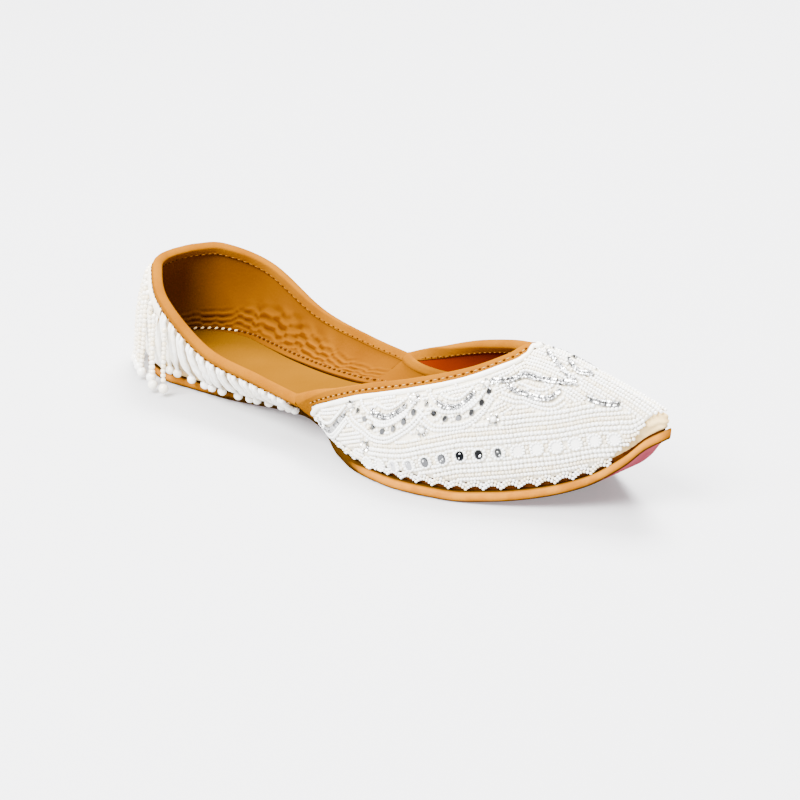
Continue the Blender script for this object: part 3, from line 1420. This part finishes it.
@dataclass
class Beadwork(SubAssembly):
    """Embroidery of the vamp: ground cloth, edging cord, silver work, mirrors and rows of seed beads."""

    cover: KDTree
    ground: float = 0.4
    cloth_start: float = NOTCH + 0.36
    beads_start: float = NOTCH + 0.42
    cloth_foot: float = 2.9
    cloth_clear: float = 3.9
    cord_start: float = 6.75
    cord_clear: float = 1.0
    fine_bead: float = 1.38
    fine_pitch: float = 1.18
    fine_step: float = 1.48
    raised_bead: float = 1.66
    raised_pitch: float = 1.42
    raised_step: float = 1.75
    coil_turn: Triple = (1.2, 1.25, 0.75)
    coil_pitch: float = 0.7
    coil_rows: tuple[float, float] = (0.0, 1.2)
    sequin: Triple = (2.7, 1.9, 0.6)
    sequin_pitch: float = 5.0
    arc_bead: Triple = (1.25, 1.35, 1.35)
    arc_pitch: float = 1.2
    arc_shifts: tuple[float, ...] = (-2.3, 2.5, 3.9)
    plate: Triple = (3.7, 3.7, 0.8)
    glint: Triple = (0.7, 0.5, 0.2)
    ring_bead: Triple = (1.25, 1.15, 1.25)
    ring_radius: float = 2.15
    stud: Triple = (2.2, 2.2, 2.0)
    stud_turn: Triple = (1.3, 1.3, 1.1)
    stud_radius: float = 1.75
    scallop: float = 6.2
    scallop_rise: float = 1.7
    scallop_bead: Triple = (1.2, 1.35, 1.35)
    loose_along: float = 0.06
    loose_out: float = 0.05
    mirror_pitch: float = 6.7
    dark_mirror: float = 0.45
    taken: list[tuple[np.ndarray, float]] = field(default_factory=list)

    @property
    def base(self) -> float:
        """Height of the ground cloth's face off the leather."""
        return self.sizes.gap + self.ground

    def gap_to_binding(self, points: np.ndarray) -> np.ndarray:
        """Distances of points from the vamp's binding."""
        return np.array([self.cover.find(Vector(p.tolist()))[2] for p in points])

    def clear(self, points: np.ndarray, margin: float) -> np.ndarray:
        """Which points keep a margin from the vamp's binding."""
        return np.array(self.gap_to_binding(points) > margin, bool)

    def free(self, points: np.ndarray) -> np.ndarray:
        """Which points are clear of the ornaments set so far.

        Args:
            points: Points to test.

        Returns:
            Whether each is clear.
        """
        good = np.ones(len(points), bool)
        for centre, reach in self.taken:
            good &= np.linalg.norm(points[:, None, :] - centre[None], axis=-1).min(1) > reach
        return good

    def bead_line(self, a: np.ndarray, v: np.ndarray, height: float, pitch: float,
                  start: float = 0.0) -> tuple:
        """Evenly spaced places along a line on the face.

        Args:
            a: Section numbers of the line.
            v: Levels of the line.
            height: Height of the places off the face.
            pitch: Spacing.
            start: Distance to the first place.

        Returns:
            Centres, directions along the line and normals.
        """
        p = self.last.offset(a, v, np.full_like(a, height))
        run = run_of(p)
        at = np.arange(start, run[-1], pitch)
        if len(at) == 0:
            return np.zeros((0, 3)), np.zeros((0, 3)), np.zeros((0, 3))
        ahead = along_line(at + 0.2, run, p) - along_line(at - 0.2, run, p)
        normal = self.last.normal(np.interp(at, run, a), np.interp(at, run, v))
        return along_line(at, run, p), unit(ahead), normal

    def arc(self, places: tuple[tuple[float, float], ...], count: int = 60) -> tuple[np.ndarray, np.ndarray]:
        """Smooth line on the face through places given by section and distance from the top.

        Args:
            places: Pairs of section number and distance down from the top line or ridge.
            count: Number of points.

        Returns:
            Section numbers and levels.
        """
        knots = np.array(places, float)
        t = np.linspace(0, len(knots) - 1, count)
        i = np.clip(np.floor(t).astype(int), 0, len(knots) - 2)
        before, after = knots[np.clip(i - 1, 0, None)], knots[np.clip(i + 2, None, len(knots) - 1)]
        line = through(before, knots[i], knots[i + 1], after, (t - i)[:, None])
        return line[:, 0], self.last.level_at(line[:, 0], line[:, 1], True)

    def cloth_top(self, a: np.ndarray) -> np.ndarray:
        """Levels where the cloth ends under the binding, or 1 where it runs over the ridge.

        Args:
            a: Section numbers.

        Returns:
            Levels.
        """
        rim = self.last.wall(np.linspace(NOTCH, THROAT, 160), np.ones(160))
        v = np.linspace(0, 1, 81)
        top = np.empty(len(a))
        for i, section in enumerate(a):
            p = self.last.wall(np.full(81, section), v)
            free = np.linalg.norm(p[:, None, :] - rim[None], axis=-1).min(1) >= self.cloth_clear
            over_ridge = section > THROAT and free[-1]
            top[i] = 1.0 if over_ridge else (v[free].max() if free.any() else 0.05)
        return top

    def ground_cloth(self) -> None:
        """Make the cloth under the beads, from under the binding to just above the sole."""
        last = self.last
        end = TOE_TIP - 0.2
        a = np.concatenate([np.linspace(self.cloth_start, THROAT, 110), np.linspace(THROAT, end, 44)[1:]])
        top = self.cloth_top(a)
        ridge = (a > THROAT) & (top >= 1.0)
        low = np.minimum(last.level_at(a, self.cloth_foot, False), top - 0.01)
        share = np.linspace(0, 1, 40)
        grid_v = low[:, None] + (top - low)[:, None] * share[None, :]
        grid_v[ridge, -1] = 1.0
        back = np.maximum(a - 14.6, 0.0)[:, None] * 0.62 * (1 - grid_v)
        rise = self.sizes.gap + self.ground * np.minimum(share / 0.06, 1.0)[None, :] * np.ones((len(a), 1))
        rise = rise * smooth_step(a[-1] - a, 0.0, 0.1)[:, None]
        outer = last.offset(a[:, None] - back, grid_v, rise)
        outer[ridge, -1, 1] = 0.0
        build = MeshBuilder(last)
        for turn, flip in SIDES:
            build.grid(turn(outer), flip=not flip)
        self.keep(build.build("vamp_ground_cloth", self.finishes(Finish.CLOTH)), Slot.BEADS, "vamp_beadwork")

    def edging_cord(self) -> None:
        """Make the white cord along the lower edge of the vamp's binding, round the throat."""
        last, leg = self.last, self.sizes.vamp_leg * 0.8
        past = np.linspace(THROAT, THROAT + 0.9, 60)[1:]
        a = np.concatenate([np.linspace(self.cord_start, THROAT, 120), past])
        down = np.linspace(0.0, 16.0, 81)
        least = np.where(a > THROAT, 0.0, leg)
        level = np.stack([last.level_at(a, d, True) for d in down], 1)
        spots = last.offset(np.repeat(a[:, None], len(down), 1), level, np.full_like(level, self.base))
        far = np.array([self.gap_to_binding(row) for row in spots])
        first = np.argmax((far > self.cord_clear) & (down[None, :] >= least[:, None]), axis=1)
        stop = int(np.argmax((a > THROAT) & (first == 0))) + 1
        a, depth = a[:stop], np.pad(down[first[:stop]], 4, mode="edge")
        v = last.level_at(a, np.convolve(depth, np.ones(9) / 9, mode="valid"), True)
        v[-1] = 1.0
        path, out = last.offset(a, v, np.full_like(a, self.base + 0.45)), last.normal(a, v)
        build = MeshBuilder(last)
        for turn, _ in SIDES:
            build.cord(turn(path), turn(out), np.full_like(a, 1.9), np.full_like(a, 1.5), twist=30.0)
        self.taken.append((path, 1.5))
        self.keep(build.build("vamp_edging_cord", self.finishes(Finish.CORD)), Slot.BEADS)

    def coils(self, seeds: OrnamentSeeds, rng: np.random.Generator) -> None:
        """Set the silver coils as two rows of tilted turns of wire.

        Args:
            seeds: Where they are added.
            rng: Source of chance.
        """
        for places in SILVER_COILS:
            for shift in self.coil_rows:
                a, v = self.arc(tuple((x, d + shift) for x, d in places))
                centre, along, out = self.bead_line(a, v, self.base + 0.75, self.coil_pitch, 0.3 * shift)
                tilt = out + rng.normal(0, 0.42, out.shape)
                tone = 0.09 + 0.55 * rng.random(len(centre))
                seeds.wire.add(centre, along, tilt, self.coil_turn, tint=tone)
                self.taken.append((centre, 1.0))

    def sequins(self, seeds: OrnamentSeeds, rng: np.random.Generator) -> None:
        """Set the drop sequins along their arcs, leaning by turns.

        Args:
            seeds: Where they are added.
            rng: Source of chance.
        """
        for places in SEQUIN_ARCS:
            a, v = self.arc(places, 120)
            centre, along, out = self.bead_line(a, v, self.base + 0.55, self.sequin_pitch, 1.2)
            tilt = out + 0.25 * along * np.where(np.arange(len(centre)) % 2, 1, -1)[:, None]
            tone = 0.05 + 0.13 * rng.random(len(centre))
            seeds.sequins.add(centre, along + np.array([0.0, 0.0, 1.4]), tilt, self.sequin, tint=tone)
            self.taken.append((centre, 1.6))

    def arc_rows(self, seeds: OrnamentSeeds) -> None:
        """Set rows of beads above and below the sequins and the first coils.

        Args:
            seeds: Where they are added.
        """
        lines = []
        for places in SEQUIN_ARCS + SILVER_COILS[:4]:
            middle = (places[0][0] + places[-1][0]) / 2
            for shift in self.arc_shifts:
                wider = 1 + shift * 0.05
                line = tuple((middle + (x - middle) * wider, max(6.4, d + shift)) for x, d in places)
                centre, along, out = self.bead_line(*self.arc(line, 120), self.base + 0.62, self.arc_pitch)
                good = self.clear(centre, 1.3) & self.free(centre)
                seeds.rims.add(centre[good], along[good], out[good], self.arc_bead, tint=0.85)
                lines.append(centre[good])
        self.taken += [(line, 1.15) for line in lines if len(line)]

    def mirrors(self, seeds: OrnamentSeeds, rng: np.random.Generator) -> None:
        """Set the row of mirrors: white plates in bead rings, with glass on those that look dark.

        Args:
            seeds: Where they are added.
            rng: Source of chance.
        """
        a = np.linspace(MIRROR_LINE[0][0], MIRROR_END, 200)
        v = self.last.level_at(a, smooth_rows(MIRROR_LINE, a), False)
        centre, along, out = self.bead_line(a, v, self.base + 0.5, self.mirror_pitch, 1.5)
        across = np.cross(out, along)
        tone = np.interp(centre[:, 0], *np.array(MIRROR_TONE).T)
        seeds.plates.add(centre, along, out, self.plate, tint=1.0)
        for spot, way, side, face, shade in zip(centre, along, across, out, tone):
            if shade >= self.dark_mirror:
                continue
            seeds.glass.add(spot + face * 0.35, way, face, (3.2 - 2.6 * shade, 3.8, 0.7), tint=shade)
            for shift, rise in rng.uniform(-0.9, 0.9, (2, 2)):
                glint = spot + way * shift * 0.7 + side * rise + face * 0.72
                seeds.glints.add(glint, way, face, self.glint, tint=0.2 + 0.8 * rng.random())
        self.taken.append((centre, 2.9))
        for t in np.radians(np.arange(0, 360, 30)):
            ring = centre + (along * math.cos(t) + across * math.sin(t)) * self.ring_radius + out * 0.25
            seeds.rims.add(ring, along, out, self.ring_bead, tint=0.9)

    def clusters(self, seeds: OrnamentSeeds) -> None:
        """Set the clusters: a pearl in a ring of silver.

        Args:
            seeds: Where they are added.
        """
        for x, d in PEARL_CLUSTERS:
            at, level = np.array([x]), self.last.level_at(np.array([x]), d, True)
            centre = self.last.offset(at, level, np.array([self.base + 0.9]))
            out = self.last.normal(at, level)
            along = unit(np.cross(out, np.array([[0.0, 0.0, 1.0]])))
            across = np.cross(out, along)
            seeds.studs.add(centre, along, out, self.stud)
            for t in np.radians(np.arange(0, 360, 60)):
                spot = centre + (along * math.cos(t) + across * math.sin(t)) * self.stud_radius - out * 0.25
                seeds.wire.add(spot, along, out + 0.5 * (spot - centre), self.stud_turn)
            self.taken.append((centre, 2.9))

    def ornaments(self) -> None:
        """Make the silver coils, sequins, mirrors and pearl clusters, same on both sides."""
        seeds, rng = OrnamentSeeds(), np.random.default_rng(5)
        self.coils(seeds, rng)
        self.sequins(seeds, rng)
        self.arc_rows(seeds)
        self.mirrors(seeds, rng)
        self.clusters(seeds)
        ball = ball_shape(8, 6)
        for name, places, shape, finish, smooth in (
                ("silver_coil_wire", seeds.wire, disc_shape(6, 0.45), Finish.SILVER, False),
                ("silver_sequins", seeds.sequins, disc_shape(14, 0.25), Finish.MIRROR, False),
                ("round_mirrors", seeds.glass, disc_shape(18, 0.2), Finish.MIRROR, False),
                ("mirror_glints", seeds.glints, disc_shape(8, 0.3), Finish.MIRROR, False),
                ("white_plates", seeds.plates, disc_shape(18, 0.3), Finish.PEARLS, False),
                ("ornament_pearls", seeds.studs, ball, Finish.PEARLS, True),
                ("mirror_bead_rings", seeds.rims, ball, Finish.BEADS, True)):
            self.keep_joined(name, places, shape, finish, Slot.BEADS, smooth)

    def spread_rows(self, rows: list[tuple[np.ndarray, np.ndarray, np.ndarray, float]], bead: float,
                    pitch: float) -> Seeds:
        """Set beads along rows on the vamp, clear of the binding and of ornaments.

        Args:
            rows: Section numbers, levels, whether each place is used, and the tone of the row's darkest bead.
            bead: Diameter.
            pitch: Spacing along a row.

        Returns:
            Places of the beads.
        """
        seeds, rng = Seeds(), np.random.default_rng(7)
        for a, v, used, tone in rows:
            if used.sum() < 3:
                continue
            for part in np.split(np.arange(len(a)), np.where(np.diff(used.astype(int)) != 0)[0] + 1):
                if not used[part[0]] or len(part) < 3:
                    continue
                height = self.base + bead * 0.32
                centre, along, out = self.bead_line(a[part], v[part], height, pitch, pitch * rng.random())
                if len(centre) == 0:
                    continue
                good = self.clear(centre, 1.25) & (centre[:, 1] > bead * 0.35) & self.free(centre)
                centre, along, out = centre[good], along[good], out[good]
                if len(centre) == 0:
                    continue
                loose = along * rng.normal(0, self.loose_along, (len(centre), 1))
                loose = loose + out * rng.normal(0, self.loose_out, (len(centre), 1))
                tint = tone + 0.3 * rng.random(len(centre))
                seeds.add(centre + loose, along, out, (bead * 0.95, bead, bead), tint=tint)
        return seeds

    def bead_rows(self) -> None:
        """Make the seed beads over the vamp in rows, and the scalloped bead edge above the sole."""
        last = self.last
        end = TOE_TIP - 0.12
        a = np.concatenate([np.linspace(self.beads_start, THROAT, 380), np.linspace(THROAT, end, 190)[1:]])
        tall = last.height(a)
        border, mirror = smooth_rows(ARC_ZONE, a), smooth_rows(MIRROR_LINE, a)
        fine, raised, edge = [], [], Seeds()
        for k in range(46):
            d = 0.7 + k * 1.5
            v = last.level_at(a, d, True)
            live = (d < border) & (tall - d > mirror + 3.2) & (a < 15.1 + 0.78 * v)
            fine.append((a, v, live, 0.1 if k % 4 == 3 else 0.4))
        for sign in (1, -1):
            rise = 0.0
            for k in range(30):
                thick = k % 4 > 1
                step = self.raised_step if thick else self.fine_step
                d = mirror + sign * (rise + step / 2)
                rise += step
                v = last.level_at(a, d, False)
                live = (tall - d >= border) & (tall > d) if sign > 0 else (d > 4.0) & (tall - d > 0.8)
                live &= a < 15.1 + 0.78 * v
                (raised if thick else fine).append((a, v, live, 0.08 if k % 4 == 0 else 0.42))
        foot = run_of(last.wall(a, np.full_like(a, 0.1)))
        for shift in (0.0, 1.25):
            rise = 0.55 + shift + self.scallop_rise * np.abs(np.sin(foot * np.pi / self.scallop))
            centre, along, out = self.bead_line(a, last.level_at(a, rise, False), self.base + 0.35, 1.2)
            good = self.clear(centre, 1.25) & (centre[:, 0] < 236)
            edge.add(centre[good], along[good], out[good], self.scallop_bead)
        for name, seeds in (
                ("bead_rows_fine", self.spread_rows(fine, self.fine_bead, self.fine_pitch)),
                ("bead_rows_raised", self.spread_rows(raised, self.raised_bead, self.raised_pitch)),
                ("bead_scalloped_edge", edge)):
            self.keep_joined(name, seeds, ball_shape(7, 5), Finish.BEADS, Slot.BEADS)


@dataclass
class QuarterFringe(SubAssembly):
    """Slanting ivory cords along both quarters on a tape, each with a pearl at its foot."""

    cords: int = 13
    rear: float = 3.05
    front: float = 5.62
    foot: float = 0.17
    strand: float = 1.85
    strand_depth: float = 1.9
    backing: float = 0.7
    pearl: Triple = (3.7, 3.7, 3.5)

    def tape(self) -> np.ndarray:
        """Tape behind the cords.

        Returns:
            Points by section and level.
        """
        s, last = self.sizes, self.last
        a = np.linspace(self.rear, self.front, 90)
        top = 1 - (s.quarter_leg + 0.2) / last.height(a)
        level = self.foot + (top - self.foot)[:, None] * np.linspace(0, 1, 12)[None, :]
        return last.offset(np.repeat(a[:, None], 12, 1), level, np.full_like(level, s.gap + 0.45))

    def looped_cord(self, build: MeshBuilder, pearls: Seeds, turn: Turn, k: int) -> None:
        """Add one looped cord of two strands and its pearl.

        Args:
            build: Where the strands are added.
            pearls: Where the pearl is added.
            turn: Takes points to the cord's side.
            k: Number of the cord, from the rear.
        """
        s, last = self.sizes, self.last
        t = np.linspace(0, 1, 40)
        a = np.full(40, self.rear + (self.front - self.rear) * (k + 0.5) / self.cords)
        top = 1 - (s.quarter_leg - 1.2) / last.height(a[:1])[0]
        v = top + (self.foot + 0.01 - top) * t
        a = a + 0.05 * np.sin(t * np.pi + k * 1.7) * t
        swell = 1 + 0.07 * np.sin(t * 26 + k) + 0.08 * np.sin(t * np.pi) - 0.45 * smooth_step(t, 0.82, 0.97)
        full = smooth_step(t, 0.0, 0.16)
        apart = 0.034 * (1 - 0.75 * smooth_step(t, 0.7, 0.95))
        out = last.normal(a, v)
        for strand in (-1, 1):
            path = last.offset(a + strand * apart, v, 0.3 + 1.05 * full)
            deep = self.strand_depth * swell * (0.25 + 0.75 * full)
            build.cord(turn(path), turn(out), self.strand * swell, deep)
        end = last.offset(a[-1:], v[-1:] - 0.05, np.array([s.gap + self.backing + 1.0]))
        pearls.add(turn(end), turn(path[-1:] - path[-2:-1]), turn(out[-1:]), self.pearl, both=False)

    def make(self) -> None:
        """Make the fringes of both sides."""
        for (turn, flip), side in zip(SIDES, ("left", "right")):
            build, pearls = MeshBuilder(self.last), Seeds()
            build.grid(turn(self.tape()), finish=1, flip=not flip)
            for k in range(self.cords):
                self.looped_cord(build, pearls, turn, k)
            piece = build.build("quarter_cords_" + side, self.finishes(Finish.CORD, Finish.TAPE))
            self.keep(piece, Slot.BEADS, "quarter_fringe_" + side)
            self.keep_joined("quarter_pearls_" + side, pearls, ball_shape(16, 10), Finish.PEARLS, Slot.PEARL)


@dataclass
class HeelTassel(SubAssembly):
    """Loose strands of seed beads round the back of the heel, hanging from a tape over short cords."""

    strands_per_side: int = 5
    strand_radius: float = 1.4
    pearl_radius: float = 2.1
    floor_clearance: float = 1.2
    tape_end: float = 2.9
    tape_width: float = 5.6
    bead: float = 2.1
    bead_pitch: float = 1.9
    cord_pitch: float = 2.3
    cord_width: float = 2.2
    cord_foot: float = 0.07
    cord_drop: float = 8.5
    cord_depth: float = 1.6
    pearl: Triple = (4.2, 4.0, 4.0)

    def tape(self) -> None:
        """Make the tape that the strands hang from."""
        s, last = self.sizes, self.last
        a, share = np.linspace(0, self.tape_end + 0.17, 50), np.linspace(0, 1, 9)
        tall = last.height(a)
        top = 1 - (s.quarter_leg - 1.0) / tall
        grid_v = top[:, None] - self.tape_width / tall[:, None] * share[None, :]
        swell = s.gap + 0.5 + 0.8 * np.sin(np.pi * share)
        tape = last.offset(np.repeat(a[:, None], 9, 1), grid_v, np.broadcast_to(swell, grid_v.shape))
        tape[0, :, 1] = 0.0
        build = MeshBuilder(last)
        for turn, flip in SIDES:
            build.grid(turn(tape), flip=flip)
        self.keep(build.build("tassel_tape", self.finishes(Finish.CLOTH)), Slot.PEARL, "heel_tassel")

    def cords(self) -> None:
        """Make the short cords behind the strands, which carry the fringe round the back of the heel."""
        last = self.last
        a, t = np.linspace(0, 3.0, 200), np.linspace(0, 1, 40)
        run = run_of(last.wall(a, np.full_like(a, 0.5)))
        build = MeshBuilder(last)
        places = np.arange(self.cord_pitch / 2, run[-1] + 1.0, self.cord_pitch)
        for k, at in enumerate(np.interp(places, run, a)):
            top = 1 - self.cord_drop / last.height(np.array([at]))[0]
            v = top + (self.cord_foot - top) * t
            full = smooth_step(t, 0.0, 0.12)
            at_a = np.full_like(t, at) + 0.04 * np.sin(t * 3 + k)
            path, out = last.offset(at_a, v, 0.3 + 0.55 * full), last.normal(at_a, v)
            deep = self.cord_depth * (0.3 + 0.7 * full) * (1 - 0.7 * (t > 0.98))
            for turn, _ in SIDES:
                build.cord(turn(path), turn(out), np.full_like(t, self.cord_width), deep)
        self.keep(build.build("heel_cords", self.finishes(Finish.CORD)), Slot.PEARL)

    def strand(self, k: float, lowest: float, loose: float) -> tuple[np.ndarray, np.ndarray]:
        """Places of the beads of one strand, which hangs straight down off the wall and sways a little.

        Args:
            k: Number of the strand from the middle of the heel.
            lowest: Height of the pearl at its end.
            loose: How far its end stands off the wall.

        Returns:
            Centres on the side Y >= 0, and the way out from the wall.
        """
        s, last = self.sizes, self.last
        at = np.array([abs(k) * (self.tape_end - 0.15) / self.strands_per_side])
        top = 1 - (s.quarter_leg + 2.4) / last.height(at)[0]
        hung = last.offset(at, np.array([top]), np.array([s.gap + 1.4]))[0]
        out = unit(last.normal(at, np.array([0.5]))[0] * [1, 1, 0])
        wall = last.wall(np.full(60, at[0]), np.linspace(0, 1, 60))
        drop = np.arange(0, hung[2] - lowest - 1.8, self.bead_pitch)
        z = hung[2] - drop
        reach = np.interp(z, wall[:, 2], wall @ out) + s.gap + self.strand_radius * 1.2
        reach = reach + 1.8 * (at[0] > self.tape_end)
        reach = np.maximum.accumulate(np.maximum(reach, hung @ out))
        sway = 0.6 * np.sin(drop * 0.16 + k * 2.3) * np.minimum(1, drop / 12)
        stand = reach - hung @ out + loose * (drop / drop[-1]) ** 1.4
        centre = hung[None, :] + out[None, :] * stand[:, None]
        centre = centre + np.cross([0, 0, 1.0], out)[None, :] * sway[:, None]
        centre[:, 2] = z
        return centre, out

    def strands(self) -> None:
        """Make the strands of seed beads with the pearls at their ends."""
        lowest = self.floor_clearance + self.pearl_radius
        down = np.array([[0.0, 0.0, -1.0]])
        size = (self.bead, self.bead, self.bead)
        beads, ends, rng = Seeds(), Seeds(), np.random.default_rng(3)
        for k in np.arange(-2 * self.strands_per_side - 2, 2 * self.strands_per_side + 3) / 2:
            centre, out = self.strand(k, lowest, 0.4 + 2.2 * rng.random())
            turn = mirrored if k < 0 else unchanged
            tone = 0.02 + 0.4 * rng.random(len(centre))
            beads.add(turn(centre), down, turn(out[None, :]), size, both=False, tint=tone)
            end = centre[-1:].copy()
            end[:, 2] = lowest
            ends.add(turn(end), down, turn(out[None, :]), self.pearl, both=False)
        self.keep_joined("tassel_strands", beads, ball_shape(10, 7), Finish.BEADS, Slot.PEARL)
        self.keep_joined("tassel_pearls", ends, ball_shape(16, 10), Finish.PEARLS, Slot.PEARL)


@dataclass(frozen=True)
class Lamp:
    """One square soft light that looks at the shoe."""

    name: str
    place: Triple
    size: float
    power: float


@dataclass
class Studio:
    """Floor, light and camera."""

    last: Last
    turn: float = math.radians(43.0)
    tilt: float = math.radians(21.1)
    roll: float = math.radians(0.7)
    distance: float = 1.01
    focal_px: float = 2650.0
    frame_px: float = 800.0
    aside_px: float = 13.0
    below_px: float = 32.4
    surround: float = 0.8
    looks_at: Triple = (0.125, 0.0, 0.025)
    floor_half: float = 3.0
    floor_end: float = 1.2
    floor_bend: float = 0.6
    backdrop: float = 2.5
    floor_below: float = 0.0002
    lamps: tuple[Lamp, ...] = (
        Lamp("front", (-0.05, -1.2, 1.35), 1.0, 200.0),
        Lamp("back", (-0.4, 0.8, 1.5), 0.8, 165.0),
        Lamp("top", (0.0, 0.0, 1.9), 1.0, 60.0),
    )

    def floor(self) -> None:
        """Make the pale floor that runs up into a plain backdrop."""
        half, start, bend, below = self.floor_half, self.floor_end, self.floor_bend, self.floor_below
        turns = np.radians(np.linspace(0, 90, 12))
        curve = [(start + bend * math.sin(t), bend * (1 - math.cos(t))) for t in turns]
        path = [(-half, 0.0), *curve, (start + bend, self.backdrop)]
        work = bmesh.new()
        around = Matrix.Rotation(self.turn, 3, "Z")
        rows = [[work.verts.new(around @ Vector((x, y, z - below))) for x in (-half, half)] for y, z in path]
        for low, high in zip(rows, rows[1:]):
            work.faces.new((low[0], low[1], high[1], high[0])).smooth = True
        mesh = bpy.data.meshes.new("studio_floor")
        work.to_mesh(mesh)
        work.free()
        mesh.materials.append(self.floor_white())
        floor = bpy.data.objects.new("studio_floor", mesh)
        bpy.context.scene.collection.objects.link(floor)

    @staticmethod
    def floor_white() -> bpy.types.Material:
        """White of the floor, faintly mottled.

        Returns:
            The material.
        """
        material = bpy.data.materials.new("studio_white")
        material.use_nodes = True
        nodes, links = material.node_tree.nodes, material.node_tree.links
        shader = nodes["Principled BSDF"]
        place, mottle = nodes.new("ShaderNodeTexCoord"), nodes.new("ShaderNodeTexNoise")
        mottle.inputs["Scale"].default_value = 6.0
        tone = nodes.new("ShaderNodeValToRGB")
        tone.color_ramp.elements[0].color = (0.455, 0.455, 0.466, 1.0)
        tone.color_ramp.elements[1].color = (0.465, 0.465, 0.473, 1.0)
        links.new(place.outputs["Object"], mottle.inputs["Vector"])
        links.new(mottle.outputs["Fac"], tone.inputs["Fac"])
        links.new(tone.outputs["Color"], shader.inputs["Base Color"])
        shader.inputs["Roughness"].default_value = 0.7
        shader.inputs["Emission Color"].default_value = (1.0, 1.0, 1.01, 1.0)
        shader.inputs["Emission Strength"].default_value = 0.35
        return material

    def lights(self) -> None:
        """Make large soft lights from above and both sides, and an even surround."""
        for lamp in self.lamps:
            light = bpy.data.lights.new(lamp.name, "AREA")
            light.size, light.energy = lamp.size, lamp.power
            piece = bpy.data.objects.new(lamp.name, light)
            piece.matrix_world = self.aimed(Vector(lamp.place), Vector((0.0, 0.0, 0.02)))
            bpy.context.scene.collection.objects.link(piece)
        world = bpy.data.worlds.new("surround")
        world.use_nodes = True
        background = world.node_tree.nodes["Background"]
        background.inputs["Color"].default_value = (1.0, 1.0, 1.0, 1.0)
        background.inputs["Strength"].default_value = self.surround
        bpy.context.scene.world = world

    @staticmethod
    def aimed(place: Vector, target: Vector, roll: float = 0.0) -> Matrix:
        """Matrix of a lamp or camera at a place that looks at a target."""
        turn = (target - place).to_track_quat("-Z", "Y").to_matrix().to_4x4()
        return Matrix.Translation(place) @ turn @ Matrix.Rotation(roll, 4, "Z")

    def camera(self) -> None:
        """Make the camera at the photograph's angle."""
        seen = Vector(self.last.shift.tolist()) + Vector(self.looks_at)
        right = Vector((math.cos(self.turn), math.sin(self.turn), 0.0))
        away = Vector((-math.sin(self.turn), math.cos(self.turn), 0.0))
        sky = Vector((0, 0, 1))
        ahead = away * math.cos(self.tilt) - sky * math.sin(self.tilt)
        up = away * math.sin(self.tilt) + sky * math.cos(self.tilt)
        pixel = self.distance / self.focal_px
        aim = seen + right * (self.aside_px * pixel) - up * (self.below_px * pixel)
        data = bpy.data.cameras.new("camera")
        data.sensor_width = 36.0
        data.lens = self.focal_px * data.sensor_width / self.frame_px
        data.clip_start, data.clip_end = 0.05, 20.0
        camera = bpy.data.objects.new("camera", data)
        camera.matrix_world = self.aimed(seen - ahead * self.distance, aim, self.roll)
        bpy.context.scene.collection.objects.link(camera)
        bpy.context.scene.camera = camera


def main() -> None:
    """Load the solids, dress them and set up the studio."""
    logging.basicConfig(level=logging.INFO)
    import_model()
    last, palette = Last(ShoeSizes()), Palette()
    last.settle()
    sole = Sole(last, palette)
    sole.outsole()
    sole.insole()
    upper = Upper(last, palette)
    upper.shell()
    upper.quarter_laps()
    cover = Bindings(last, palette).make()
    beadwork = Beadwork(last, palette, cover)
    beadwork.ground_cloth()
    beadwork.edging_cord()
    beadwork.ornaments()
    beadwork.bead_rows()
    QuarterFringe(last, palette).make()
    tassel = HeelTassel(last, palette)
    tassel.tape()
    tassel.cords()
    tassel.strands()
    upper.lining_stitches()
    studio = Studio(last)
    studio.floor()
    studio.lights()
    studio.camera()


if __name__ == "__main__":
    main()
